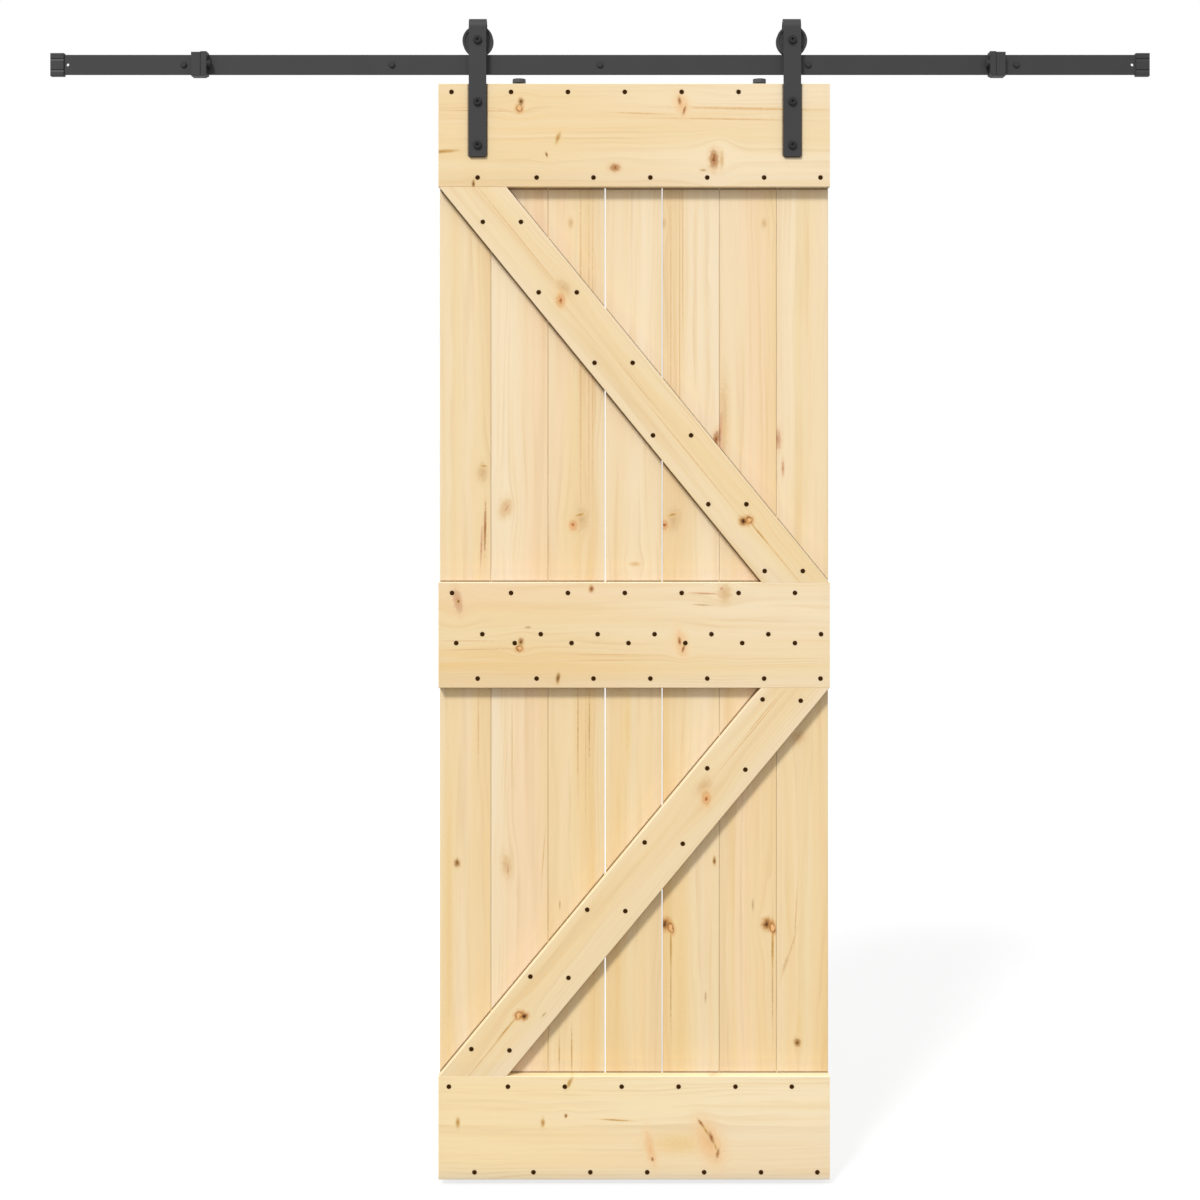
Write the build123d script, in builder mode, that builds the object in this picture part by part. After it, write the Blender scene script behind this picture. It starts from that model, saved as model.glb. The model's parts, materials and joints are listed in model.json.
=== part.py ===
from build123d import *

import math
import os

# Sliding plank door on a flat wall rail, in millimetres, +Z up, +X to the right as seen from the room.
# The origin is the centre of the middle spacer's back face, on the wall, level with the rail's middle.
# Depths are distances from the wall towards the room, along -Y.

# Door leaf: upright planks behind, ledges and braces in front
leaf_width = 750.0
leaf_height = 2100.0
plank_count = 7
edge_plank_width = 100.0
plank_shift = -0.5
plank_gap = 0.5
open_joint_gap = 2.4
plank_inset = 1.0
plank_thickness = 18.0
plank_ease = 0.7
ledge_height = 198.0
middle_ledge_height = 202.0
ledge_thickness = 20.0
ledge_ease = 0.8
middle_ledge_drop = 1057.0
brace_width = 100.0

# Where the leaf hangs
wall_gap = 8.0
leaf_drop = 19.4
leaf_rest = 65.5

# Rail and its wall fixings
rail_length = 2100.0
rail_height = 38.0
rail_thickness = 6.0
rail_ease = 0.8
wall_bolt_count = 5
wall_bolt_inset = 250.0
wall_hole_radius = 4.5
spacer_radius = 12.5
end_hole_radius = 3.1
end_hole_inset = 26.8

# Caps pushed over the rail's ends
cap_length = 26.4
cap_wall = 2.8
cap_end_wall = 5.7
cap_fit = 0.2
cap_round = 1.5
cap_rib_height = 21.5
cap_rib_centre = 1.2
cap_groove_rise = 0.8
cap_groove_slope = 5.0
cap_groove_depth = 1.4

# Stops clamped on the rail, each in two halves with a rubber bumper
stop_insets = {"left": 285.3, "right": 291.7}
stop_clamp_length = 18.0
stop_block_length = 11.5
stop_top_wall = 2.7
stop_bottom_wall = 4.9
stop_block_rise = 1.3
stop_back_wall = 4.0
stop_front_margin = 0.6
stop_fit = 0.2
stop_ease = 1.0
stop_toe_length = 6.0
stop_toe_height = 3.0
bumper_radius = 7.0
bumper_rail_gap = 0.6
bumper_length = 6.0
bumper_groove_width = 1.0
bumper_groove_depth = 1.0
bumper_rib_length = 1.2
bumper_stem_radius = 3.5
bumper_stem_length = 6.0
bumper_fit = 0.2

# Grooved wheels, each on a ball bearing
flange_radius = 29.5
flange_thickness = 3.0
groove_radius = 25.7
groove_slope = 1.0
wheel_width = 16.0
rim_radius = 25.0
web_recess = 2.0
tread_gap = 0.3
bearing_radius = 13.0
bearing_width = 8.0
bearing_fit = 0.05

# Hangers bent over the wheels, with their axles and bolts
hanger_insets = {"left": 75.0, "right": 72.3}
strap_width = 33.5
strap_thickness = 5.0
strap_lap = 140.0
strap_corner = 2.5
strap_tail = 17.5
strap_tail_corner = 10.0
wheel_side_gap = 5.0
wheel_top_gap = 8.5
axle_radius = 5.0
axle_fit = 0.05
axle_end = 1.5
bush_radius = 8.0
bush_gap = 0.3
bolt_radius = 5.0
bolt_fit = 0.2
bolt_first_drop = 35.0
bolt_pitch = 83.0
bolt_head_radius = 8.0
bolt_head_height = 4.5
bolt_head_dome = 1.0
bolt_socket_flats = 5.0
bolt_socket_depth = 2.5
nut_flats = 17.0
nut_height = 5.0
plate_nut_radius = 9.0
plate_nut_height = 2.5

# Discs on the leaf's top that keep the wheels from jumping off the rail
disc_insets = {"left": 154.0, "right": 134.0}
disc_radius = 12.6
disc_height = 7.8
disc_foot_radius = 6.0
disc_foot_height = 2.5
disc_screw_radius = 2.5
disc_screw_head_radius = 5.0
disc_screw_head_height = 2.5

# Depths from the wall
plank_front = wall_gap + plank_thickness
leaf_front = plank_front + ledge_thickness
strap_front = leaf_front + strap_thickness
strap_inner_gap = wheel_width + 2 * wheel_side_gap
track_depth = leaf_front - strap_inner_gap / 2
rail_back = track_depth - rail_thickness / 2
rail_front = track_depth + rail_thickness / 2
bumper_depth = rail_front + bumper_rail_gap + bumper_radius
stop_back = rail_back - stop_fit - stop_back_wall
stop_front = bumper_depth + bumper_radius + stop_front_margin

# Heights and places across the wall
sides = {"left": -1, "right": 1}
leaf_top = -rail_height / 2 - leaf_drop
leaf_bottom = leaf_top - leaf_height
leaf_middle = (leaf_top + leaf_bottom) / 2
middle_ledge_top = leaf_top - middle_ledge_drop + middle_ledge_height / 2
middle_ledge_bottom = middle_ledge_top - middle_ledge_height
wheel_centre = rail_height / 2 + tread_gap + groove_radius
strap_inner_radius = strap_inner_gap / 2
strap_outer_radius = strap_inner_radius + strap_thickness
strap_bend = wheel_centre + flange_radius + wheel_top_gap - strap_inner_radius
hanger_places = [leaf_rest + way * (leaf_width / 2 - hanger_insets[side]) for side, way in sides.items()]
bolt_heights = (leaf_top - bolt_first_drop, leaf_top - bolt_first_drop - bolt_pitch)
bolt_hole_radius = bolt_radius + bolt_fit
wall_bolt_pitch = (rail_length - 2 * wall_bolt_inset) / (wall_bolt_count - 1)
wall_bolt_places = [(i - (wall_bolt_count - 1) / 2) * wall_bolt_pitch for i in range(wall_bolt_count)]
stop_height = rail_height + stop_top_wall + stop_bottom_wall
stop_centre = (stop_top_wall - stop_bottom_wall) / 2
stop_seams = {side: way * (rail_length / 2 - stop_insets[side]) for side, way in sides.items()}
bumper_seats = {side: stop_seams[side] - way * stop_block_length for side, way in sides.items()}


def write(piece, node):
    """Label one finished piece and save it under its own name."""
    piece.part.label = node
    export_step(piece.part, f"parts/{node}.step")


def drill_for_hangers(depth, thickness):
    """Cut the four hanger bolt holes out of the piece being built."""
    with BuildSketch(Plane.XZ.offset(depth)) as holes:
        with Locations(*[(x, z) for x in hanger_places for z in bolt_heights]):
            Circle(bolt_hole_radius)
    extrude(holes.sketch, amount=thickness, mode=Mode.SUBTRACT)


def brace_points(low, high, rising):
    """Corners of a brace cut level at both ends, from one side of the planks to the other."""
    left = leaf_rest - leaf_width / 2 + plank_inset
    right = leaf_rest + leaf_width / 2 - plank_inset
    run = right - left
    rise = high - low
    slant = math.atan2(rise, run) + math.asin(brace_width / math.hypot(run, rise))
    foot = brace_width / math.sin(slant)
    if rising:
        return [(left, low), (left + foot, low), (right, high), (right - foot, high)]
    return [(left, high), (left + foot, high), (right, low), (right - foot, low)]


def axle_plane(x):
    """Plane through a wheel's middle: first direction along the axle to the wall, second upwards."""
    return Plane(origin=(x, -track_depth, wheel_centre), x_dir=(0, 1, 0), z_dir=(1, 0, 0))


def axle_axis(x):
    """Centre line of a wheel and its axle."""
    return Axis((x, 0, wheel_centre), (0, 1, 0))


def button_bolt(x, z, head_back, tip, shank_radius):
    """Add a bolt with a low domed head and a six-sided socket, its shank running back to the tip."""
    plane = Plane(origin=(x, 0, z), x_dir=(0, -1, 0), z_dir=(1, 0, 0))
    head_front = head_back + bolt_head_height
    rim = head_front - bolt_head_dome
    with BuildSketch(plane) as profile:
        with BuildLine():
            Polyline(
                (tip, 0),
                (tip, shank_radius),
                (head_back, shank_radius),
                (head_back, bolt_head_radius),
                (rim, bolt_head_radius),
                (head_front, bolt_head_radius - bolt_head_dome),
                (head_front, 0),
                close=True,
            )
        make_face()
    revolve(profile.sketch, axis=Axis((x, 0, z), (0, 1, 0)))
    with BuildSketch(Plane.XZ.offset(head_front)) as socket:
        with Locations((x, z)):
            RegularPolygon(bolt_socket_flats / 2, 6, major_radius=False)
    extrude(socket.sketch, amount=-bolt_socket_depth, mode=Mode.SUBTRACT)


os.makedirs("parts", exist_ok=True)

# Flat rail
end_hole_place = rail_length / 2 - end_hole_inset
with BuildPart() as rail:
    with BuildSketch(Plane.XZ.offset(rail_back)):
        Rectangle(rail_length, rail_height)
        with Locations(*[(x, 0) for x in wall_bolt_places]):
            Circle(wall_hole_radius, mode=Mode.SUBTRACT)
        with Locations((-end_hole_place, 0), (end_hole_place, 0)):
            Circle(end_hole_radius, mode=Mode.SUBTRACT)
    extrude(amount=rail_thickness)
    chamfer(rail.edges().filter_by(Axis.X), rail_ease)
write(rail, "track_rail")

# Round spacers that hold the rail off the wall
with BuildPart() as spacers:
    with BuildSketch(Plane.XZ):
        with Locations(*[(x, 0) for x in wall_bolt_places]):
            Circle(spacer_radius)
            Circle(wall_hole_radius, mode=Mode.SUBTRACT)
    extrude(amount=rail_back)
write(spacers, "rail_spacers")

# Caps over the rail's ends, ribbed on the front
cap_shell = cap_wall + cap_fit
cap_front = -rail_front - cap_shell
groove_tops = (cap_rib_centre + cap_rib_height / 2, cap_rib_centre - cap_rib_height / 2)
for side, way in sides.items():
    cap_end = way * (rail_length / 2 + cap_fit + cap_end_wall)
    cap_mouth = cap_end - way * cap_length
    pocket_end = way * (rail_length / 2 + cap_fit)
    with BuildPart() as cap:
        with BuildSketch(Plane.XZ.offset(rail_back - cap_shell)):
            with Locations(((cap_mouth + cap_end) / 2, 0)):
                Rectangle(cap_length, rail_height + 2 * cap_shell)
        extrude(amount=rail_thickness + 2 * cap_shell)
        fillet(cap.faces().sort_by(Axis.Y)[0].edges(), cap_round)
        with BuildSketch(Plane.XZ.offset(rail_back - cap_fit)):
            with Locations(((cap_mouth + pocket_end) / 2, 0)):
                Rectangle(abs(pocket_end - cap_mouth), rail_height + 2 * cap_fit)
        extrude(amount=rail_thickness + 2 * cap_fit, mode=Mode.SUBTRACT)
        with BuildSketch(Plane.YZ.offset(cap_mouth)):
            for top in groove_tops:
                with BuildLine():
                    Polyline(
                        (cap_front, top),
                        (cap_front + cap_groove_depth, top - cap_groove_rise),
                        (cap_front, top - cap_groove_slope),
                        close=True,
                    )
                make_face()
        extrude(amount=way * cap_length, mode=Mode.SUBTRACT)
    write(cap, f"{side}_end_cap")

# Stops: an outer clamp and an inner block round the rail
for side, way in sides.items():
    seam = stop_seams[side]
    clamp_end = seam + way * stop_clamp_length
    block_face = bumper_seats[side]
    with BuildPart() as clamp:
        with BuildSketch(Plane.XZ.offset(stop_back)):
            with Locations(((seam + clamp_end) / 2, stop_centre)):
                Rectangle(stop_clamp_length, stop_height)
        extrude(amount=stop_front - stop_back)
        chamfer(clamp.faces().sort_by(Axis.Y)[0].edges(), stop_ease)
        with BuildSketch(Plane.XZ.offset(rail_back - stop_fit)):
            with Locations(((seam + clamp_end) / 2, 0)):
                Rectangle(stop_clamp_length, rail_height + 2 * stop_fit)
        extrude(amount=rail_thickness + 2 * stop_fit, mode=Mode.SUBTRACT)
    write(clamp, f"{side}_stop_clamp")

    with BuildPart() as block:
        with BuildSketch(Plane.XZ.offset(stop_back)):
            with Locations(((seam + block_face) / 2, stop_centre + stop_block_rise / 2)):
                Rectangle(stop_block_length, stop_height + stop_block_rise)
            toe = block_face, stop_centre - stop_height / 2
            with BuildLine():
                Polyline(
                    toe,
                    (toe[0] + way * stop_toe_length, toe[1]),
                    (toe[0], toe[1] + stop_toe_height),
                    close=True,
                )
            make_face(mode=Mode.SUBTRACT)
        extrude(amount=stop_front - stop_back)
        chamfer(block.faces().sort_by(Axis.Y)[0].edges(), stop_ease)
        with BuildSketch(Plane.XZ.offset(rail_back - stop_fit)):
            with Locations(((seam + block_face) / 2, 0)):
                Rectangle(stop_block_length, rail_height + 2 * stop_fit)
        extrude(amount=rail_thickness + 2 * stop_fit, mode=Mode.SUBTRACT)
        with BuildSketch(Plane.YZ.offset(block_face)):
            with Locations((-bumper_depth, 0)):
                Circle(bumper_stem_radius + bumper_fit)
        extrude(amount=way * (bumper_stem_length + bumper_fit), mode=Mode.SUBTRACT)
    write(block, f"{side}_stop_block")

# Ribbed rubber bumpers, each with a stem pressed into its stop's block
groove_pitch = bumper_groove_width + bumper_rib_length
first_groove = bumper_length - bumper_rib_length - bumper_groove_width / 2
groove_height = bumper_radius - bumper_groove_depth / 2
with BuildPart() as bumpers:
    for side, way in sides.items():
        seat = (bumper_seats[side], -bumper_depth, 0)
        with BuildSketch(Plane(origin=seat, x_dir=(-way, 0, 0), z_dir=(0, way, 0))):
            with Locations((bumper_length / 2, bumper_radius / 2)):
                Rectangle(bumper_length, bumper_radius)
            with Locations((-bumper_stem_length / 2, bumper_stem_radius / 2)):
                Rectangle(bumper_stem_length, bumper_stem_radius)
            with Locations((first_groove, groove_height), (first_groove - groove_pitch, groove_height)):
                Rectangle(bumper_groove_width, bumper_groove_depth, mode=Mode.SUBTRACT)
        revolve(axis=Axis(seat, (1, 0, 0)))
write(bumpers, "stop_bumpers")

# Upright planks, butted, with an open joint on each side of the middle plank
field_left = leaf_rest - leaf_width / 2 + plank_inset
field_right = leaf_rest + leaf_width / 2 - plank_inset
plank_pitch = (leaf_width - 2 * edge_plank_width) / (plank_count - 2)
seams = [leaf_rest + plank_shift + (i - (plank_count - 2) / 2) * plank_pitch for i in range(plank_count - 1)]
open_joints = (plank_count // 2 - 1, plank_count // 2)
gaps = [open_joint_gap if i in open_joints else plank_gap for i in range(plank_count - 1)]
plank_starts = [field_left] + [x + gap / 2 for x, gap in zip(seams, gaps)]
plank_ends = [x - gap / 2 for x, gap in zip(seams, gaps)] + [field_right]
for number, (start, end) in enumerate(zip(plank_starts, plank_ends), start=1):
    with BuildPart() as plank:
        with BuildSketch(Plane.XZ.offset(wall_gap)):
            with Locations(((start + end) / 2, leaf_middle)):
                Rectangle(end - start, leaf_height)
        extrude(amount=plank_thickness)
        chamfer(plank.edges().filter_by(Axis.Z), plank_ease)
        drill_for_hangers(wall_gap, plank_thickness)
    write(plank, f"plank_{number}")

# Level ledges across the planks, their long front edges eased
ledge_spans = {
    "top_ledge": (leaf_top - ledge_height, leaf_top),
    "middle_ledge": (middle_ledge_bottom, middle_ledge_top),
    "bottom_ledge": (leaf_bottom, leaf_bottom + ledge_height),
}
for node, (low, high) in ledge_spans.items():
    with BuildPart() as ledge:
        with BuildSketch(Plane.XZ.offset(plank_front)):
            with Locations((leaf_rest, (low + high) / 2)):
                Rectangle(leaf_width, high - low)
        extrude(amount=ledge_thickness)
        chamfer(ledge.faces().sort_by(Axis.Y)[0].edges().filter_by(Axis.X), ledge_ease)
        drill_for_hangers(plank_front, ledge_thickness)
    write(ledge, node)

# Slanting braces between the ledges, their long front edges eased
brace_spans = {
    "upper_brace": (middle_ledge_top, leaf_top - ledge_height, False),
    "lower_brace": (leaf_bottom + ledge_height, middle_ledge_bottom, True),
}
for node, (low, high, rising) in brace_spans.items():
    with BuildPart() as brace:
        with BuildSketch(Plane.XZ.offset(plank_front)):
            with BuildLine():
                Polyline(*brace_points(low, high, rising), close=True)
            make_face()
        extrude(amount=ledge_thickness)
        chamfer(brace.faces().sort_by(Axis.Y)[0].edges().filter_by(Axis.X, reverse=True), ledge_ease)
    write(brace, node)

# Hangers: a flat strap bolted to the leaf's front and bent back over the wheel
leg_back = -leaf_front
leg_front = -strap_front
tail_front = leg_back + strap_inner_gap
tail_back = tail_front + strap_thickness
strap_bottom = leaf_top - strap_lap
tail_bottom = wheel_centre - strap_tail
for side, x in zip(sides, hanger_places):
    with BuildPart() as strap:
        with BuildSketch(Plane.YZ.offset(x - strap_width / 2)):
            with BuildLine():
                Polyline((leg_back, strap_bend), (leg_back, strap_bottom), (leg_front, strap_bottom),
                         (leg_front, strap_bend))
                ThreePointArc((leg_front, strap_bend), (-track_depth, strap_bend + strap_outer_radius),
                              (tail_back, strap_bend))
                Polyline((tail_back, strap_bend), (tail_back, tail_bottom), (tail_front, tail_bottom),
                         (tail_front, strap_bend))
                ThreePointArc((tail_front, strap_bend), (-track_depth, strap_bend + strap_inner_radius),
                              (leg_back, strap_bend))
            make_face()
        extrude(amount=strap_width)
        ends = strap.edges().filter_by(Axis.Y).group_by(Axis.Z)
        fillet(ends[1], strap_tail_corner)
        fillet(strap.edges().filter_by(Axis.Y).group_by(Axis.Z)[0], strap_corner)
        drill_for_hangers(leaf_front, strap_thickness)
        with BuildSketch(Plane.XZ):
            with Locations((x, wheel_centre)):
                Circle(axle_radius + bolt_fit)
        extrude(amount=strap_front, mode=Mode.SUBTRACT)
    write(strap, f"{side}_hanger_strap")

# Bolts through straps, ledge and planks, with flat round nuts on the leaf's back
with BuildPart() as bolts:
    for x in hanger_places:
        for z in bolt_heights:
            button_bolt(x, z, strap_front, wall_gap - plate_nut_height, bolt_radius)
write(bolts, "hanger_bolts")

with BuildPart() as plate_nuts:
    with BuildSketch(Plane.XZ.offset(wall_gap)):
        with Locations(*[(x, z) for x in hanger_places for z in bolt_heights]):
            Circle(plate_nut_radius)
            Circle(bolt_radius + axle_fit, mode=Mode.SUBTRACT)
    extrude(amount=-plate_nut_height)
write(plate_nuts, "hanger_nuts")

# Axles across the straps, with a nut behind each tail and a bush on each side of each wheel
with BuildPart() as axles:
    for x in hanger_places:
        button_bolt(x, wheel_centre, strap_front, -tail_back - nut_height - axle_end, axle_radius)
write(axles, "axle_bolts")

with BuildPart() as axle_nuts:
    with BuildSketch(Plane.XZ.offset(-tail_back)):
        with Locations(*[(x, wheel_centre) for x in hanger_places]):
            RegularPolygon(nut_flats / 2, 6, major_radius=False)
            Circle(axle_radius + axle_fit, mode=Mode.SUBTRACT)
    extrude(amount=-nut_height)
write(axle_nuts, "axle_nuts")

bush_length = strap_inner_radius - bearing_width / 2 - bush_gap
bush_middle = strap_inner_radius - bush_length / 2
bush_wall = bush_radius - axle_radius - axle_fit
bush_height = bush_radius - bush_wall / 2
with BuildPart() as bushes:
    for x in hanger_places:
        with BuildSketch(axle_plane(x)):
            with Locations((-bush_middle, bush_height), (bush_middle, bush_height)):
                Rectangle(bush_length, bush_wall)
        revolve(axis=axle_axis(x))
write(bushes, "axle_bushes")

# Wheels with a groove for the rail, recessed webs and a bearing in the hub
half_width = wheel_width / 2
groove_mouth = half_width - flange_thickness
groove_root = groove_mouth - groove_slope
wheel_bore = bearing_radius + bearing_fit
race = bearing_radius - axle_radius - axle_fit
for side, x in zip(sides, hanger_places):
    with BuildPart() as wheel:
        with BuildSketch(axle_plane(x)):
            with BuildLine():
                Polyline(
                    (0, wheel_bore),
                    (half_width - web_recess, wheel_bore),
                    (half_width - web_recess, rim_radius),
                    (half_width, rim_radius),
                    (half_width, flange_radius),
                    (groove_mouth, flange_radius),
                    (groove_root, groove_radius),
                    (0, groove_radius),
                    close=True,
                )
            make_face()
            mirror(about=Plane.YZ)
        revolve(axis=axle_axis(x))
    write(wheel, f"{side}_wheel")

    with BuildPart() as bearing:
        with BuildSketch(axle_plane(x)):
            with Locations((0, bearing_radius - race / 2)):
                Rectangle(bearing_width, race)
        revolve(axis=axle_axis(x))
    write(bearing, f"{side}_wheel_bearing")

# Discs that stand on the leaf's top under the rail
disc_top = disc_foot_height + disc_height
with BuildPart() as discs:
    for side, way in sides.items():
        disc_place = leaf_rest + way * (leaf_width / 2 - disc_insets[side])
        stand = (disc_place, -track_depth, leaf_top)
        with BuildSketch(Plane(origin=stand, x_dir=(1, 0, 0), z_dir=(0, -1, 0))):
            with BuildLine():
                Polyline(
                    (disc_screw_radius, 0),
                    (disc_foot_radius, 0),
                    (disc_foot_radius, disc_foot_height),
                    (disc_radius, disc_foot_height),
                    (disc_radius, disc_top),
                    (disc_screw_head_radius, disc_top),
                    (disc_screw_radius, disc_top - disc_screw_head_height),
                    close=True,
                )
            make_face()
        revolve(axis=Axis(stand, (0, 0, 1)))
write(discs, "anti_jump_discs")
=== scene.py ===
import json
import math
from typing import NamedTuple

import bmesh
import bpy
from bpy.props import FloatProperty, FloatVectorProperty, PointerProperty
from mathutils import Matrix, Vector


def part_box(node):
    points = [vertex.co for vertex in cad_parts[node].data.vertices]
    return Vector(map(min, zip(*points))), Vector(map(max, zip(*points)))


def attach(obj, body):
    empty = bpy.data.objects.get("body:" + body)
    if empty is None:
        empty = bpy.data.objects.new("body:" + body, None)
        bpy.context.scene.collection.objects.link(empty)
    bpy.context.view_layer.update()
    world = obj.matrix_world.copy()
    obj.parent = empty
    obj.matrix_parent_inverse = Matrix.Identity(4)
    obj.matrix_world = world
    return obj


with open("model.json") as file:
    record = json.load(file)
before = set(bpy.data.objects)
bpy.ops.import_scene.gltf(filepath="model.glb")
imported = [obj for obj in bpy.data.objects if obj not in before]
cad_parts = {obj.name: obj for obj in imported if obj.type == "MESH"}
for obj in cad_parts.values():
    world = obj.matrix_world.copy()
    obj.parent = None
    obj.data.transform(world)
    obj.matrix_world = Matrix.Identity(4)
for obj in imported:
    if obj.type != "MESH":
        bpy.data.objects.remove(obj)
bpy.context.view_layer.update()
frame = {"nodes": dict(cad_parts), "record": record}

bl_info = {
    "name": "Sliding plank door",
    "version": (1, 0, 0),
    "blender": (4, 5, 0),
    "location": "3D View > Sidebar > Door",
    "description": "Finishes a sliding plank door's boards and fittings, adds its screws and sets its stage",
    "category": "Object",
}

MM = 0.001
WHITE = (1.0, 1.0, 1.0, 1.0)

# Knots and screws are measured from the leaf's top left corner, on the front of the ledges
LEAF_LOW, LEAF_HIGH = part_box("top_ledge")
LEAF_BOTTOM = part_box("bottom_ledge")[0].z
RAIL_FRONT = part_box("track_rail")[0].y


def linear(hex_colour):
    """Turn an sRGB hex colour into the opaque linear colour that shaders take."""
    channels = [int(hex_colour[i:i + 2], 16) / 255 for i in (1, 3, 5)]
    return [c / 12.92 if c <= 0.04045 else ((c + 0.055) / 1.055) ** 2.4 for c in channels] + [1.0]


def colour(label, about, hex_colour):
    """A colour that a user may change, written as an sRGB hex value."""
    return FloatVectorProperty(
        name=label, description=about, subtype="COLOR", size=4, min=0.0, max=1.0, default=linear(hex_colour)
    )


def length(label, about, millimetres):
    """A size that a user may change, written in millimetres."""
    return FloatProperty(name=label, description=about, unit="LENGTH", default=millimetres * MM)


def number(label, about, value):
    """A plain number that a user may change."""
    return FloatProperty(name=label, description=about, default=value)


class BoardSettings(bpy.types.PropertyGroup):
    """Tones and grain of the pine boards."""

    pale: colour("Pale", "Palest sapwood", "#F3DFBD")
    cream: colour("Cream", "Common sapwood", "#F1DAB4")
    straw: colour("Straw", "Yellowish sapwood", "#EFD7AA")
    honey: colour("Honey", "Yellow heartwood", "#EFD2A0")
    rose: colour("Rose", "Pinkish heartwood", "#F2D5AE")
    tan: colour("Tan", "Brownish heartwood", "#EBCFA2")
    amber: colour("Amber", "Resin-rich heartwood", "#EBC98F")
    butter: colour("Butter", "Warm pale board", "#F5DDAE")
    ivory: colour("Ivory", "Cool pale board", "#F6E3BD")
    latewood: colour("Latewood", "Dark edge of a year ring", "#D8B27A")
    # Painted highlight: the pale colour laid on upward-facing eased edges in place of light falling on them
    painted_highlight: colour("Sanded edge", "Pale, sanded edge of a board", "#FFF3DC")
    # Painted shade: the dark colour laid into the corners between boards
    painted_corner_shade: colour("Grime", "Dirt in the corners between boards", "#50340F")
    ring_spacing: length("Ring spacing", "Distance between two year rings", 6.5)
    brace_width: length("Brace width", "Width of a slanting brace", 100.0)


class ScrewSettings(bpy.types.PropertyGroup):
    """Wood screws of ledges and braces, and coach screws of the rail."""

    head_radius: length("Head radius", "Radius of a wood screw's head", 4.4)
    head_rise: length("Head rise", "How far a wood screw's head stands proud", 0.6)
    coach_flats: length("Coach screw", "Width across the flats of a coach screw's head", 10.0)
    coach_rise: length("Coach screw height", "Height of a coach screw's head and collar", 3.5)
    coach_collar: length("Collar radius", "Radius of the collar under a coach screw's head", 6.5)
    blackened: colour("Blackened steel", "Black phosphate on the screws", "#3E2509")


class HardwareSettings(bpy.types.PropertyGroup):
    """Finishes of the black fittings."""

    coat: colour("Powder coat", "Matt black coat on rail, straps and stops", "#2E2E2F")
    bolt: colour("Bolt coat", "Duller coat on bolts and nuts", "#363637")
    plastic: colour("Moulded plastic", "End caps", "#2D2D2E")
    disc: colour("Disc plastic", "Discs on the leaf's top", "#4C4C4D")
    nylon: colour("Nylon", "Wheels", "#363637")
    rubber: colour("Rubber", "Bumpers", "#3A3A3B")
    steel: colour("Ground steel", "Bearings and bushes", "#B9BABC")


class StageSettings(bpy.types.PropertyGroup):
    """Floor, lights and camera."""

    floor: colour("Floor", "Shade of the floor in the light that it throws back", "#787877")
    floor_gap: length("Floor gap", "Air under the leaf", 12.0)
    eye_distance: length("Eye distance", "From the camera to the leaf's front", 3400.0)
    eye_height: length("Eye height", "Height of the camera over the rail's middle", -728.9)
    view_width: length("View width", "Width of the picture at the leaf's front", 2299.2)
    view_height: length("View height", "Height of the picture's middle over the rail's middle", -1027.9)
    key: number("Key light", "Strength of the slanting light", 2.34)
    ambient: number("Ambient light", "Strength of the light from all round", 0.78)


def add(tree, kind, inputs=(), **settings):
    """Add one node with its settings, set or link its inputs, and hand back its outputs.

    Inputs come in the order of the sockets, or by the socket's name or number.
    """
    node = tree.nodes.new(kind)
    for name, value in settings.items():
        setattr(node, name, value)
    for socket, value in inputs.items() if isinstance(inputs, dict) else enumerate(inputs):
        if isinstance(value, bpy.types.NodeSocket):
            tree.links.new(value, node.inputs[socket])
        else:
            node.inputs[socket].default_value = value
    return node.outputs


def new_material(name):
    """An empty node material and its tree."""
    material = bpy.data.materials.new(name)
    material.use_nodes = True
    material.node_tree.nodes.clear()
    return material, material.node_tree


def finish_node(node, material):
    """Give a CAD node one material all over."""
    piece = frame["nodes"][node]
    piece.data.materials.clear()
    piece.data.materials.append(material)


class Knot(NamedTuple):
    """A knot, crack or resin streak: its middle from the leaf's top left corner and its half sizes along and
    across the grain, in millimetres, its turn in degrees, clockwise as seen from the room, and its kind."""

    right: float
    down: float
    along: float
    across: float
    turn: float
    kind: str


class KnotKind(NamedTuple):
    """Colours of a knot's halo, heart and rim, how softly the heart ends, how much of the rim's colour its
    edge and its pith take, and whether the grain swings round it."""

    halo: str
    heart: str
    rim: str
    soft: float
    edge: float
    pith: float
    bends_grain: bool = False


KNOT_KINDS = {
    "red": KnotKind("#E6BE8C", "#BE8750", "#85491F", 0.3, 0.7, 0.8, bends_grain=True),
    "brown": KnotKind("#E4BE84", "#B07E40", "#5F3A10", 0.3, 0.7, 0.9, bends_grain=True),
    "golden": KnotKind("#EEC68E", "#EDB074", "#96521C", 0.4, 0.4, 0.8, bends_grain=True),
    "ring": KnotKind("#DC9E5A", "#F6C080", "#763A00", 0.3, 1.0, 0.0, bends_grain=True),
    "dark": KnotKind("#CC9046", "#80480C", "#321800", 0.4, 0.4, 1.0, bends_grain=True),
    "faint": KnotKind("#E8CB9C", "#DDB988", "#C39A66", 0.7, 0.2, 0.2, bends_grain=True),
    "pink": KnotKind("#EBC79E", "#D9A880", "#A8724B", 0.45, 0.5, 0.5, bends_grain=True),
    "peach": KnotKind("#F2D1A2", "#EFC390", "#DCAA70", 0.7, 0.2, 0.2),
    "resin": KnotKind("#EACA90", "#CD9D56", "#9C6A28", 0.4, 0.4, 0.4),
    "grey": KnotKind("#E6CBA0", "#CBAB7C", "#B4925F", 0.4, 0.3, 0.3),
    "line": KnotKind("#E4C492", "#C39A62", "#AC804A", 0.6, 0.0, 0.0),
    "vein": KnotKind("#EACB9A", "#DDB580", "#CFA06A", 0.6, 0.0, 0.0),
    "band": KnotKind("#EFD3A0", "#EBCB92", "#E0B878", 0.8, 0.0, 0.0),
}


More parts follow.
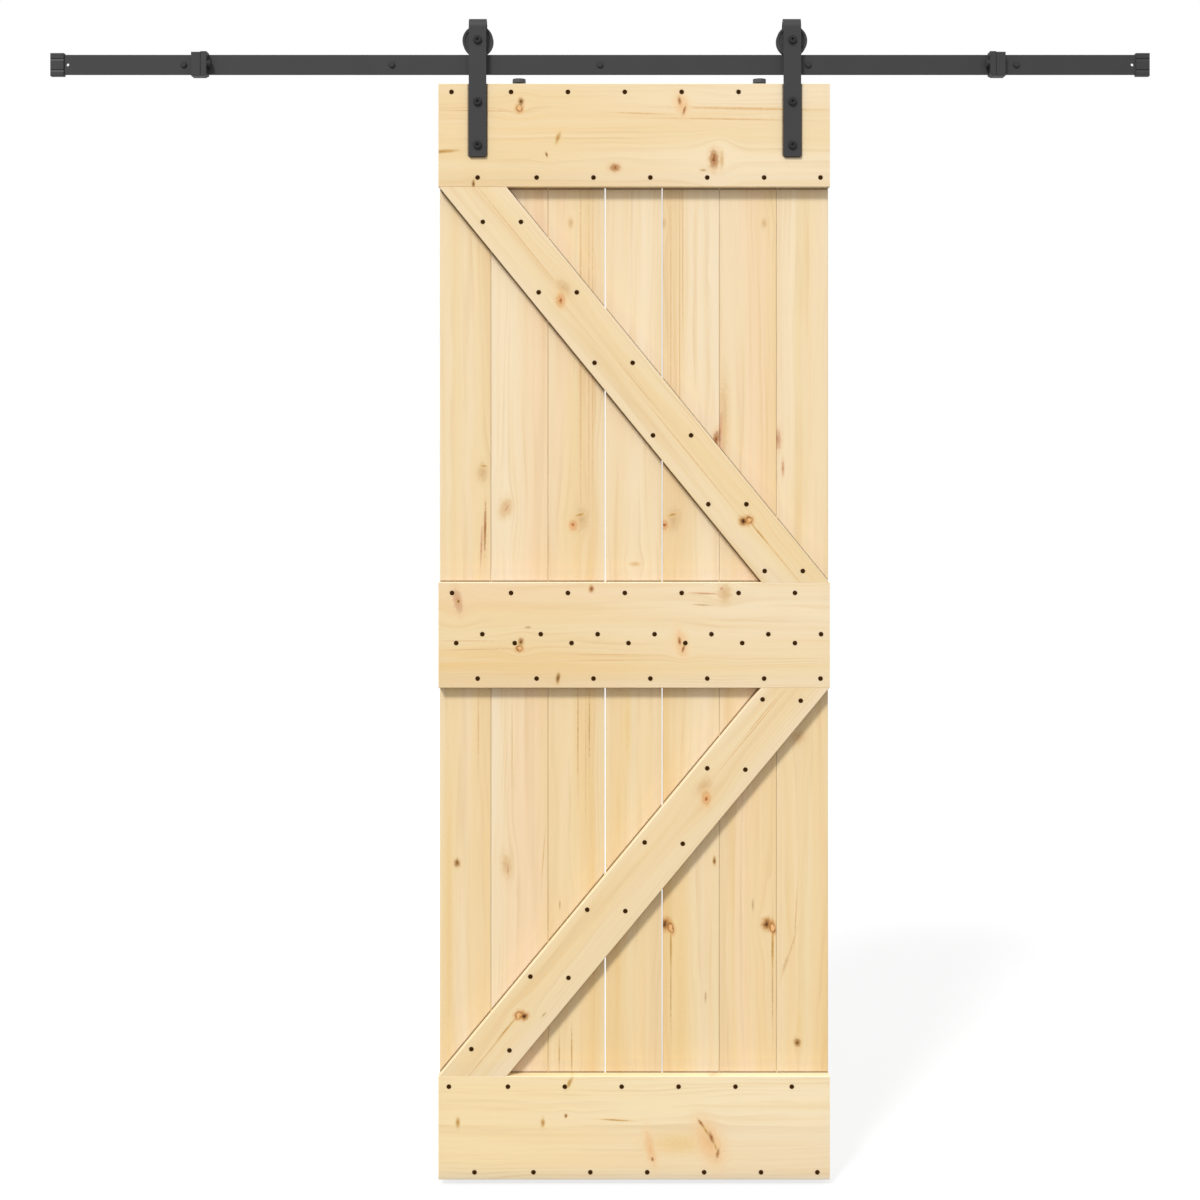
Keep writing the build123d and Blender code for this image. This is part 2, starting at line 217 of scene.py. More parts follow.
class Board(NamedTuple):
    """Tones across a board at its two ends, in order from one edge to the other, and its knots."""

    first_end: str
    second_end: str
    knots: tuple


# A plank's first end is its lower one, and its tones run from left to right. The first end of a ledge
# or brace is its left one, and its tones run downwards.
BOARDS = {
    "plank_1": Board("straw honey cream honey honey", "cream straw cream straw tan", (
        Knot(18, 1640, 260, 6, 0, "band"),
        Knot(83, 746, 14, 9, 0, "faint"),
        Knot(86, 733, 1.8, 5, 0, "resin"),
        Knot(88, 853, 37, 2.0, 1, "red"),
        Knot(81, 886, 30, 1.6, 2, "pink"),
        Knot(75, 1240, 60, 1.2, 0, "vein"),
        Knot(34, 1498, 6, 4.5, 0, "brown"),
    )),
    "plank_2": Board("pale cream rose rose honey", "pale pale cream rose rose", (
        Knot(140, 1285, 75, 0.9, 0, "vein"),
        Knot(200, 1490, 45, 0.9, 4, "vein"),
        Knot(128, 814, 14, 9, 20, "faint"),
        Knot(130, 814, 7, 1.6, 34, "pink"),
        Knot(130, 1503, 16, 7, -10, "faint"),
        Knot(132, 1510, 9, 1.6, 0, "pink"),
    )),
    "plank_3": Board("honey straw honey amber straw", "cream rose straw tan cream", (
        Knot(272, 500, 300, 1.6, 0, "vein"),
        Knot(288, 520, 300, 0.9, 0, "vein"),
        Knot(295, 500, 280, 0.9, 0, "vein"),
        Knot(267, 1245, 80, 1.0, 0, "line"),
        Knot(282, 1300, 110, 0.9, 0, "vein"),
        Knot(289, 1235, 60, 1.1, 0, "line"),
        Knot(231, 1868, 28, 1.0, 0, "line"),
        Knot(255, 1862, 36, 1.2, 0, "line"),
        Knot(232, 1579, 8, 1.6, 0, "grey"),
        Knot(274, 836, 20, 11, 10, "faint"),
        Knot(271, 827, 2.2, 7, -15, "resin"),
        Knot(258, 847, 8, 6.5, 0, "golden"),
        Knot(253, 265, 7, 4, 0, "faint"),
    )),
    "plank_4": Board("honey amber straw honey tan", "cream cream pale pale cream", (
        Knot(362, 1236, 55, 5, 0, "band"),
        Knot(345, 1404, 85, 5, 0, "band"),
        Knot(377, 922, 3, 7, 0, "faint"),
    )),
    "plank_5": Board("amber honey straw cream straw", "honey tan cream pale pale", (
        Knot(465, 1800, 220, 11, 0, "band"),
        Knot(446, 450, 260, 0.9, 0, "vein"),
        Knot(463, 450, 260, 0.9, 0, "vein"),
        Knot(469, 330, 130, 0.9, 0, "vein"),
        Knot(513, 1757, 8, 1.6, 0, "grey"),
        Knot(452, 836, 20, 11, 10, "faint"),
        Knot(449, 827, 2.2, 7, -15, "resin"),
        Knot(434, 847, 8, 6, 0, "golden"),
        Knot(533, 682, 13, 5, 12, "red"),
        Knot(446, 1720, 80, 1.2, 0, "line"),
        Knot(446, 1662, 32, 1.8, 0, "resin"),
        Knot(436, 1616, 8, 7, 0, "dark"),
        Knot(446, 1623, 8.5, 4.6, -15, "ring"),
        Knot(530, 1494, 6, 2.5, 0, "brown"),
        Knot(432, 265, 7, 4, 0, "faint"),
    )),
    "plank_6": Board("tan honey rose honey honey", "cream cream rose rose honey", (
        Knot(545, 655, 60, 8, 2, "faint"),
        Knot(541, 672, 34, 3, 3, "pink"),
        Knot(642, 1720, 80, 1.2, 0, "line"),
        Knot(642, 1662, 32, 1.8, 0, "resin"),
        Knot(632, 1616, 8, 7, 0, "dark"),
        Knot(642, 1623, 8.5, 4.6, -15, "ring"),
        Knot(604, 1579, 9, 1.8, 0, "grey"),
        Knot(626, 265, 7, 4, 0, "faint"),
    )),
    "plank_7": Board("straw honey straw honey amber", "cream pale straw cream cream", (
        Knot(687, 1600, 45, 1.0, 3, "vein"),
        Knot(676, 1668, 34, 1.4, 18, "vein"),
        Knot(667, 1692, 14, 2.4, 18, "faint"),
        Knot(694, 1808, 24, 4, 0, "band"),
        Knot(652, 682, 15, 5, 0, "pink"),
        Knot(662, 736, 12, 2.0, 0, "pink"),
        Knot(692, 1256, 12, 9, 30, "faint"),
        Knot(690, 1844, 6.5, 5, 0, "brown"),
    )),
    "top_ledge": Board("straw honey honey straw tan", "pale cream straw pale cream", (
        Knot(80, 52, 72, 1.0, 1, "vein"),
        Knot(385, 57, 40, 1.2, 2, "vein"),
        Knot(595, 48, 115, 2.0, 1, "vein"),
        Knot(550, 68, 105, 1.3, 1, "vein"),
        Knot(155, 47, 5, 5.5, 0, "ring"),
        Knot(158, 35, 4, 6, 0, "brown"),
        Knot(229, 104, 3.5, 9, 20, "resin"),
        Knot(207, 136, 1.8, 4, -15, "brown"),
        Knot(338, 161, 8, 6, 0, "red"),
        Knot(466, 40, 9, 17, -15, "peach"),
        Knot(462, 33, 2.5, 6, -8, "red"),
        Knot(471, 51, 2, 7, 15, "red"),
        Knot(528, 145, 7, 14, 0, "red"),
        Knot(543, 146, 3, 12, 0, "faint"),
        Knot(507, 166, 5, 2.0, 0, "grey"),
        Knot(67, 192, 2.5, 6, 0, "brown"),
        Knot(9, 130, 24, 3, -4, "resin"),
    )),
    "middle_ledge": Board("rose honey straw amber tan", "cream pale cream straw cream", (
        Knot(52, 1068, 52, 0.8, 0, "vein"),
        Knot(321, 1094, 64, 0.8, 0, "vein"),
        Knot(321, 1105, 64, 0.8, 0, "vein"),
        Knot(80, 1084, 72, 1.0, -1, "vein"),
        Knot(171, 1042, 5, 2, 0, "grey"),
        Knot(37, 992, 6.5, 18, -12, "pink"),
        Knot(38, 992, 2.5, 3, 0, "brown"),
        Knot(293, 968, 4, 5, 0, "red"),
        Knot(155, 1082, 5, 5, 0, "ring"),
        Knot(158, 1069, 4, 5.5, 0, "brown"),
        Knot(229, 1139, 3.2, 8, 10, "brown"),
        Knot(549, 977, 9, 13, 0, "faint"),
        Knot(543, 968, 3, 2.5, 0, "pink"),
        Knot(510, 977, 20, 1.3, 2, "pink"),
        Knot(505, 999, 13, 1.2, 3, "grey"),
        Knot(465, 1074, 9, 20, -12, "peach"),
        Knot(462, 1068, 2.5, 6, -8, "red"),
        Knot(469, 1083, 2, 7, 15, "red"),
    )),
    "bottom_ledge": Board("butter butter butter butter straw", "ivory ivory pale cream cream", (
        Knot(37, 1991, 3, 8, 0, "resin"),
        Knot(200, 1991, 3, 7, 0, "resin"),
        Knot(244, 1978, 2.2, 3, 0, "brown"),
        Knot(251, 1915, 3, 9, 25, "resin"),
        Knot(340, 1986, 22, 1.2, 3, "resin"),
        Knot(461, 2031, 42, 14, 0, "band"),
        Knot(519, 2028, 17, 34, -22, "peach"),
        Knot(513, 2007, 2, 15, -32, "resin"),
        Knot(530, 2035, 1.5, 12, -22, "resin"),
        Knot(503, 1992, 2, 7, -35, "red"),
        Knot(523, 2020, 3, 9, -20, "red"),
        Knot(535, 2050, 2.5, 7, 10, "red"),
        Knot(528, 1899, 9, 2.0, 0, "red"),
        Knot(406, 2040, 7, 26, -12, "peach"),
        Knot(410, 2061, 2, 4, -10, "red"),
    )),
    "upper_brace": Board("cream straw tan straw cream", "straw honey straw cream straw", (
        Knot(160, 302, 130, 0.9, 0, "vein"),
        Knot(382, 579, 60, 0.9, 0, "vein"),
        Knot(484, 715, 120, 0.9, 0, "vein"),
        Knot(640, 892, 75, 1.1, 0, "vein"),
        Knot(615, 862, 24, 1.3, 0, "resin"),
        Knot(240, 391, 14, 9, 0, "faint"),
        Knot(234, 415, 11, 7, 40, "golden"),
        Knot(595, 836, 6, 5.5, 0, "ring"),
        Knot(584, 839, 6, 5.5, 0, "dark"),
    )),
    "lower_brace": Board("straw honey straw cream straw", "cream straw tan straw cream", (
        Knot(604, 1237, 97, 0.9, 0, "vein"),
        Knot(623, 1207, 45, 0.9, 0, "vein"),
        Knot(103, 1847, 70, 1.1, 0, "vein"),
        Knot(130, 1812, 24, 1.3, 0, "resin"),
        Knot(202, 1784, 5, 1.6, 0, "grey"),
        Knot(509, 1346, 14, 9, 0, "faint"),
        Knot(513, 1369, 11, 7, -40, "golden"),
        Knot(154, 1785, 6.5, 5.5, 0, "ring"),
        Knot(165, 1787, 5.5, 5, 0, "dark"),
    )),
}


class Layout(NamedTuple):
    """How a board lies: the corner its grain starts from, its slope below level, its length and width."""

    corner: Vector
    slope: float
    length: float
    width: float


def board_layout(node, brace_width):
    """Find a board's lie from its box."""
    low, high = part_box(node)
    size = high - low
    if node.startswith("plank"):
        return Layout(Vector((low.x, low.y, low.z)), -math.pi / 2, size.z, size.x)
    if node.endswith("ledge"):
        return Layout(Vector((low.x, low.y, high.z)), 0.0, size.x, size.z)
    span = math.hypot(size.x, size.z)
    slope = math.atan2(size.z, size.x) + math.asin(brace_width / span)
    if node == "upper_brace":
        foot = brace_width / math.sin(slope)
        return Layout(Vector((low.x + foot, low.y, high.z)), slope, span, brace_width)
    return Layout(Vector((low.x, low.y, low.z)), -slope, span, brace_width)


def board_axes(slope):
    """Directions along the grain, across it and through the board, as the columns of a matrix."""
    along = Vector((math.cos(slope), 0.0, -math.sin(slope)))
    across = Vector((-math.sin(slope), 0.0, -math.cos(slope)))
    return Matrix((along, across, along.cross(across))).transposed()


def on_leaf(right, down):
    """A point of the leaf's front from millimetres to the right of and below its top left corner."""
    return Vector((LEAF_LOW.x + right * MM, LEAF_LOW.y, LEAF_HIGH.z - down * MM))


def open_group(name, inputs, output):
    """A node group that has its sockets, and the values that come in through them."""
    group = bpy.data.node_groups.new(name, "ShaderNodeTree")
    for socket, kind in inputs.items():
        group.interface.new_socket(socket, in_out="INPUT", socket_type="NodeSocket" + kind)
    group.interface.new_socket(output[0], in_out="OUTPUT", socket_type="NodeSocket" + output[1])
    return group, add(group, "NodeGroupInput")


def grain_round_knot():
    """Node group that bends the lines of the grain round one knot."""
    sockets = {"Place": "Vector", "Middle": "Vector", "Reach": "Vector", "Push": "Float"}
    group, given = open_group("grain_round_knot", sockets, ("Place", "Vector"))
    place = given["Place"]
    away = add(group, "ShaderNodeVectorMath", (place, given["Middle"]), operation="SUBTRACT")[0]
    scaled = add(group, "ShaderNodeVectorMath", (away, given["Reach"]), operation="MULTIPLY")[0]
    square = add(group, "ShaderNodeVectorMath", (scaled, scaled), operation="DOT_PRODUCT")["Value"]
    fall = add(group, "ShaderNodeMath", (square, -1.0), operation="MULTIPLY")[0]
    near = add(group, "ShaderNodeMath", (fall,), operation="EXPONENT")[0]
    pull = add(group, "ShaderNodeMath", (near, given["Push"]), operation="MULTIPLY")[0]
    sideways = add(group, "ShaderNodeVectorMath", (away, (0.0, 1.0, 0.0)), operation="MULTIPLY")[0]
    shift = add(group, "ShaderNodeVectorMath", {0: sideways, "Scale": pull}, operation="SCALE")[0]
    moved = add(group, "ShaderNodeVectorMath", (place, shift), operation="SUBTRACT")[0]
    add(group, "NodeGroupOutput", (moved,))
    return group


# Zones of a knot, in shares of its half sizes: where each starts, where it is full, and what it covers there
KNOT_ZONES = {
    "halo": (2.6, 0.7, 0.8),
    "ring": (1.5, 1.0, 1.0),
    "pith": (0.65, 0.2, 1.0),
}
# The heart is half full at its edge and ends more or less softly there
HEART_EDGE = 0.85
HEART_COVER = 0.9
# A knot's outline wavers by this share of its size, and its rim thins out where the outline swells
KNOT_WAVER = 0.35
RIM_WAVER = (-0.25, 0.25)
RIM_COVER = (0.3, 1.0)


def knot_colour():
    """Node group that lays one knot's halo, heart and rim over the colour of the wood."""
    sockets = {
        "Colour": "Color", "Place": "Vector", "Middle": "Vector", "Turn": "Float", "Inverse": "Vector",
        "Rough": "Float", "Halo": "Color", "Heart": "Color", "Rim": "Color", "Soft": "Float",
        "Edge": "Float", "Pith": "Float",
    }
    group, given = open_group("knot_colour", sockets, ("Colour", "Color"))
    away = add(group, "ShaderNodeVectorMath", (given["Place"], given["Middle"]), operation="SUBTRACT")[0]
    turn = {"Vector": away, "Angle": given["Turn"]}
    turned = add(group, "ShaderNodeVectorRotate", turn, rotation_type="Z_AXIS")[0]
    scaled = add(group, "ShaderNodeVectorMath", (turned, given["Inverse"]), operation="MULTIPLY")[0]
    even = add(group, "ShaderNodeVectorMath", (scaled,), operation="LENGTH")["Value"]
    reach = add(group, "ShaderNodeMath", (given["Rough"], even), operation="ADD")[0]

    starts = add(group, "ShaderNodeMath", (HEART_EDGE, given["Soft"]), operation="ADD")[0]
    full = add(group, "ShaderNodeMath", (HEART_EDGE, given["Soft"]), operation="SUBTRACT")[0]
    zones = {**KNOT_ZONES, "heart": (starts, full, HEART_COVER)}
    shares = {}
    for zone, (outer, inner, most) in zones.items():
        ends = (reach, outer, inner, 0.0, most)
        shares[zone] = add(group, "ShaderNodeMapRange", ends, interpolation_type="SMOOTHSTEP")[0]

    broken = add(group, "ShaderNodeMapRange", (given["Rough"], *RIM_WAVER, *RIM_COVER))[0]
    around = (shares["ring"], shares["heart"])
    ring = add(group, "ShaderNodeMath", around, operation="SUBTRACT", use_clamp=True)[0]
    outline = add(group, "ShaderNodeMath", (broken, given["Edge"]), operation="MULTIPLY")[0]
    rim = add(group, "ShaderNodeMath", (ring, outline), operation="MULTIPLY")[0]
    core = add(group, "ShaderNodeMath", (shares["pith"], given["Pith"]), operation="MULTIPLY")[0]
    dark = add(group, "ShaderNodeMath", (rim, core), operation="MAXIMUM")[0]

    wood = given["Colour"]
    for cover, name in ((shares["halo"], "Halo"), (shares["heart"], "Heart"), (dark, "Rim")):
        wood = add(group, "ShaderNodeMix", {0: cover, 6: wood, 7: given[name]}, data_type="RGBA")[2]
    add(group, "NodeGroupOutput", (wood,))
    return group


# Noise patterns of the grain: sizes along, across and through in millimetres, and detail. Fibres are really
# about a tenth of a millimetre wide and are drawn coarser, so that they show.
GRAIN_PATTERNS = {
    "drift": ((900.0, 110.0, 110.0), 1.0),
    "ripple": ((170.0, 30.0, 30.0), 1.0),
    "streak": ((520.0, 13.0, 20.0), 2.0),
    "fade": ((340.0, 22.0, 30.0), 2.0),
    "fibre": ((45.0, 1.3, 1.3), 2.0),
    "rough": ((7.0, 7.0, 7.0), 2.0),
}
# How far the patterns move on from one board to the next, counted in their sizes
PATTERN_STEP = (7.3, 3.1, 1.0)
# Values between which nearly all of a noise pattern lies, and those between which most of it does
NOISE_WIDE = (0.2, 0.8)
NOISE_NARROW = (0.25, 0.75)

# How far the grain wanders sideways, in long drifts and in ripples, in millimetres
DRIFT = 22.0
RIPPLE = 5.0
# The grain swings round a knot within these multiples of its half sizes along and across, and millimetres
# more, and gives way there by this share
BEND_TIMES = (3.4, 2.2)
BEND_MORE = (14.0, 7.0)
BEND_PUSH = 0.7
# Share of a board's length at either end that keeps the tones of that end
END_SHARE = 0.15
# Values of the streak pattern where resin-rich and pale streaks start and where they are full
AMBER_STREAK = (0.5, 0.75)
PALE_STREAK = (0.48, 0.25)
STREAK_COVER = 0.35
# The tree's pith lies at these shares of the boards' widths in turn, and this far behind their fronts
PITH_SHARES = (0.2, 0.5, 0.8)
PITH_DEPTH = 70.0
# Latewood grows between these parts of a year, and its lines come and go with the fade pattern
LATE_SEASON = (0.35, 0.95)
FADE_SPAN = (0.45, 0.75)
LATE_COVER = (0.02, 0.38)
# Fibres shade and roughen the wood, and stand up from it by this many millimetres
FIBRE_SHADE = (0.97, 1.02)
FIBRE_GLOSS = (0.5, 0.68)
FIBRE_HEIGHT = 0.3
PINE_RELIEF = 0.12
PINE_SPECULAR = 0.3

# Parts of a face's direction where it starts and where it is full: out of a board's front, out of an eased
# edge, and upwards
FRONT_TURN = (-0.9, -0.97)
EDGE_TURN = (-0.5, -0.6)
UPWARD_TURN = (0.2, 0.4)
# Eased upper edges get a painted highlight, this much paler
EDGE_HIGHLIGHT = 0.6
# Painted shade above ledges and braces, within this many millimetres. Looking down and out from the wood, it
# starts where little is near, is full where most is, and greys the wood down to these shares.
ABOVE_SHADE_REACH = 30.0
ABOVE_SHADE_SIGHT = (0.0, -0.8, -0.6)
ABOVE_SHADE_OPEN = (0.95, 0.2)
ABOVE_SHADE_TINT = (0.8, 0.85, 1.0, 1.0)
# Painted shade darkens the corners between boards, within this many millimetres
JOINT_REACH = 4.0
JOINT_OPEN = (1.0, 0.65)
CORNER_SAMPLES = 4


def knot_middle(knot, layout, axes):
    """A knot's middle in millimetres along and across its board."""
    away = axes.transposed() @ (on_leaf(knot.right, knot.down) - layout.corner) / MM
    return (away.x, away.y, 0.0)


def swung_grain(tree, place, knots, middles, flow):
    """The place in a board, with the lines of the grain swung round its knots."""
    for knot, middle in zip(knots, middles):
        if KNOT_KINDS[knot.kind].bends_grain:
            halves = zip(BEND_TIMES, (knot.along, knot.across), BEND_MORE)
            reach = [1 / (times * half + more) for times, half, more in halves]
            bend = {"Place": place, "Middle": middle, "Reach": (*reach, 0.0), "Push": BEND_PUSH}
            place = add(tree, "ShaderNodeGroup", bend, node_tree=flow)[0]
    return place


def grain_patterns(tree, place, grain, order):
    """The noise patterns of one board. All but the roughness of its knots follow the grain."""
    patterns = {}
    for name, (sizes, detail) in GRAIN_PATTERNS.items():
        start = place if name == "rough" else grain
        stretch = (start, [1 / size for size in sizes], [order * step for step in PATTERN_STEP])
        stretched = add(tree, "ShaderNodeVectorMath", stretch, operation="MULTIPLY_ADD")[0]
        noise = {"Vector": stretched, "Scale": 1.0, "Detail": detail}
        patterns[name] = add(tree, "ShaderNodeTexNoise", noise)[0]
    return patterns


def board_tone(tree, board, layout, settings, along, across):
    """A board's tones across its width, which pass from those of one end to those of the other."""
    share = add(tree, "ShaderNodeMath", (across, layout.width / MM), operation="DIVIDE")[0]
    ends = []
    for tones in (board.first_end, board.second_end):
        names = tones.split()
        blend = add(tree, "ShaderNodeValToRGB", (share,))[0]
        stops = blend.node.color_ramp.elements
        while len(stops) < len(names):
            stops.new(0.5)
        for i, (stop, tone) in enumerate(zip(stops, names)):
            stop.position = i / (len(names) - 1)
            stop.color = getattr(settings, tone)
        ends.append(blend)
    whole = layout.length / MM
    middle = (along, END_SHARE * whole, (1 - END_SHARE) * whole)
    run = add(tree, "ShaderNodeMapRange", middle, interpolation_type="SMOOTHSTEP")[0]
    return add(tree, "ShaderNodeMix", {0: run, 6: ends[0], 7: ends[1]}, data_type="RGBA")[2]


def with_streaks(tree, wood, streak, settings):
    """Wood with resin-rich and pale streaks along the grain."""
    for span, tint in ((AMBER_STREAK, settings.amber), (PALE_STREAK, settings.pale)):
        cover = add(tree, "ShaderNodeMapRange", (streak, *span, 0.0, STREAK_COVER))[0]
        wood = add(tree, "ShaderNodeMix", {0: cover, 6: wood, 7: tint}, data_type="RGBA")[2]
    return wood


def latewood_lines(tree, pith, spacing, across, depth, fade):
    """How much the dark edges of the year rings about the pith show. Lengths are in millimetres."""
    section = add(tree, "ShaderNodeCombineXYZ", (0.0, across, depth))[0]
    radius = add(tree, "ShaderNodeVectorMath", (section, pith), operation="DISTANCE")["Value"]
    years = add(tree, "ShaderNodeMath", (radius, spacing), operation="DIVIDE")[0]
    season = add(tree, "ShaderNodeMath", (years,), operation="FRACT")[0]
    growth = (season, *LATE_SEASON, 0.0, 1.0)
    late = add(tree, "ShaderNodeMapRange", growth, interpolation_type="SMOOTHSTEP")[0]
    shows = add(tree, "ShaderNodeMapRange", (fade, *FADE_SPAN, *LATE_COVER))[0]
    return add(tree, "ShaderNodeMath", (late, shows), operation="MULTIPLY")[0]


def with_knots(tree, wood, place, knots, middles, rough, laying):
    """Wood with its knots laid over it in order."""
    for knot, middle in zip(knots, middles):
        kind = KNOT_KINDS[knot.kind]
        mark = {
            "Colour": wood,
            "Place": place,
            "Middle": middle,
            "Turn": -math.radians(knot.turn),
            "Inverse": (1 / knot.along, 1 / knot.across, 0.0),
            "Rough": rough,
            "Halo": linear(kind.halo),
            "Heart": linear(kind.heart),
            "Rim": linear(kind.rim),
            "Soft": kind.soft,
            "Edge": kind.edge,
            "Pith": kind.pith,
        }
        wood = add(tree, "ShaderNodeGroup", mark, node_tree=laying)[0]
    return wood


def with_painted_light(tree, wood, settings):
    """Wood with a painted highlight on its upper edges, painted shade above ledges and braces, and painted
    shade in the joints between boards.
    """
    # Painted highlight: upward-facing eased edges are mixed towards a pale colour
    normal = add(tree, "ShaderNodeNewGeometry")["True Normal"]
    facing = add(tree, "ShaderNodeSeparateXYZ", (normal,))
    front = add(tree, "ShaderNodeMapRange", (facing["Y"], *FRONT_TURN, 0.0, 1.0))[0]
    eased = add(tree, "ShaderNodeMapRange", (facing["Y"], *EDGE_TURN, 0.0, EDGE_HIGHLIGHT))[0]
    upward = add(tree, "ShaderNodeMapRange", (facing["Z"], *UPWARD_TURN, 0.0, 1.0))[0]
    painted_highlight = add(tree, "ShaderNodeMath", (eased, upward), operation="MULTIPLY")[0]
    highlighted = add(tree, "ShaderNodeMix", {0: painted_highlight, 6: wood, 7: settings.painted_highlight}, data_type="RGBA")[2]

    # Painted shade: wood with a ledge or brace close below it is greyed and cooled
    sight = add(tree, "ShaderNodeCombineXYZ", ABOVE_SHADE_SIGHT)[0]
    search = {"Distance": ABOVE_SHADE_REACH * MM, "Normal": sight}
    below = add(tree, "ShaderNodeAmbientOcclusion", search, samples=CORNER_SAMPLES)["AO"]
    # Unclamped, the scatter of the few samples on open wood evens out
    above_shade_share = add(tree, "ShaderNodeMapRange", (below, *ABOVE_SHADE_OPEN, 0.0, 1.0), clamp=False)[0]
    above_shade_mask = add(tree, "ShaderNodeMath", (above_shade_share, front), operation="MULTIPLY")[0]
    above_shaded = add(
        tree,
        "ShaderNodeMix",
        {0: above_shade_mask, 6: highlighted, 7: ABOVE_SHADE_TINT},
        data_type="RGBA",
        blend_type="MULTIPLY",
        clamp_factor=False,
    )[2]

    # Painted shade: front faces close to a corner between boards are darkened
    search = {"Distance": JOINT_REACH * MM}
    near = add(tree, "ShaderNodeAmbientOcclusion", search, samples=CORNER_SAMPLES)["AO"]
    corner = add(tree, "ShaderNodeMapRange", (near, *JOINT_OPEN, 0.0, 1.0))[0]
    corner_shade_mask = add(tree, "ShaderNodeMath", (corner, front), operation="MULTIPLY")[0]
    return add(tree, "ShaderNodeMix", {0: corner_shade_mask, 6: above_shaded, 7: settings.painted_corner_shade}, data_type="RGBA")[2]


def planed_pine(node, order, settings, flow, laying):
    """Planed bare pine, smoothed with sandpaper: low, silky gloss, soft bands of cream to honey along the
    grain, thin darker year rings that swing round the knots, and faint fibres."""
    board = BOARDS[node]
    layout = board_layout(node, settings.brace_width)
    axes = board_axes(layout.slope)
    middles = [knot_middle(knot, layout, axes) for knot in board.knots]
    material, tree = new_material(f"planed_pine_{node}")
    lie = {
        "Vector": add(tree, "ShaderNodeTexCoord")["Object"],
        "Location": layout.corner,
        "Rotation": axes.to_euler(),
        "Scale": (MM, MM, MM),
    }
    place = add(tree, "ShaderNodeMapping", lie, vector_type="TEXTURE")[0]
    grain = swung_grain(tree, place, board.knots, middles, flow)
    patterns = grain_patterns(tree, place, grain, order)
    fibre = patterns["fibre"]

    along, straight, depth = add(tree, "ShaderNodeSeparateXYZ", (grain,))
    drifted = add(tree, "ShaderNodeMapRange", (patterns["drift"], *NOISE_WIDE, -DRIFT, DRIFT))[0]
    rippled = add(tree, "ShaderNodeMapRange", (patterns["ripple"], *NOISE_WIDE, -RIPPLE, RIPPLE))[0]
    swing = add(tree, "ShaderNodeMath", (drifted, rippled), operation="ADD")[0]
    across = add(tree, "ShaderNodeMath", (straight, swing), operation="ADD")[0]

    tone = board_tone(tree, board, layout, settings, along, across)
    streaked = with_streaks(tree, tone, patterns["streak"], settings)
    pith = (0.0, PITH_SHARES[order % len(PITH_SHARES)] * layout.width / MM, PITH_DEPTH)
    line = latewood_lines(tree, pith, settings.ring_spacing / MM, across, depth, patterns["fade"])
    ringed = add(tree, "ShaderNodeMix", {0: line, 6: streaked, 7: settings.latewood}, data_type="RGBA")[2]
    waver = (patterns["rough"], *NOISE_NARROW, -KNOT_WAVER, KNOT_WAVER)
    rough = add(tree, "ShaderNodeMapRange", waver)[0]
    knotted = with_knots(tree, ringed, place, board.knots, middles, rough, laying)
    # Painted highlight and painted shade laid over the wood's colour
    light_painted = with_painted_light(tree, knotted, settings)

    shade = add(tree, "ShaderNodeMapRange", (fibre, *NOISE_WIDE, *FIBRE_SHADE))[0]
    shaded = add(tree, "ShaderNodeVectorMath", {0: light_painted, "Scale": shade}, operation="SCALE")[0]
    gloss = add(tree, "ShaderNodeMapRange", (fibre, 0.0, 1.0, *FIBRE_GLOSS))[0]
    relief = add(tree, "ShaderNodeMath", (fibre, line), operation="ADD")[0]
    stand = {"Strength": PINE_RELIEF, "Distance": FIBRE_HEIGHT * MM, "Height": relief}
    bump = add(tree, "ShaderNodeBump", stand)[0]
    finish = {"Base Color": shaded, "Roughness": gloss, "Specular IOR Level": PINE_SPECULAR, "Normal": bump}
    surface = add(tree, "ShaderNodeBsdfPrincipled", finish)[0]
    add(tree, "ShaderNodeOutputMaterial", {"Surface": surface})
    return material


# A coat is lighter and darker in clouds of this size, in millimetres
CLOUD_SIZE = 60.0
CLOUD_DETAIL = 3.0
CLOUD_SHADE = (0.94, 1.06)
# Its grain swings its gloss by this much and stands up by this many millimetres
COAT_DETAIL = 2.0
GLOSS_SWING = 0.07
COAT_HEIGHT = 0.1


def coated(name, base, grain_size, gloss, relief, specular, metallic=0.0):
    """A finish with an even colour and a fine grain, in millimetres, that roughens gloss and surface."""
    material, tree = new_material(name)
    place = add(tree, "ShaderNodeTexCoord")["Object"]
    fine = {"Vector": place, "Scale": 1 / (grain_size * MM), "Detail": COAT_DETAIL}
    grain = add(tree, "ShaderNodeTexNoise", fine)[0]
    wide = {"Vector": place, "Scale": 1 / (CLOUD_SIZE * MM), "Detail": CLOUD_DETAIL}
    cloud = add(tree, "ShaderNodeTexNoise", wide)[0]
    tint = add(tree, "ShaderNodeMapRange", (cloud, *NOISE_NARROW, *CLOUD_SHADE))[0]
    clouded = add(tree, "ShaderNodeVectorMath", {0: base[:3], "Scale": tint}, operation="SCALE")[0]
    swing = (grain, *NOISE_WIDE, gloss - GLOSS_SWING, gloss + GLOSS_SWING)
    rough = add(tree, "ShaderNodeMapRange", swing)[0]
    stand = {"Strength": relief, "Distance": COAT_HEIGHT * MM, "Height": grain}
    bump = add(tree, "ShaderNodeBump", stand)[0]
    finish = {
        "Base Color": clouded,
        "Roughness": rough,
        "Metallic": metallic,
        "Specular IOR Level": specular,
        "Normal": bump,
    }
    surface = add(tree, "ShaderNodeBsdfPrincipled", finish)[0]
    add(tree, "ShaderNodeOutputMaterial", {"Surface": surface})
    return material


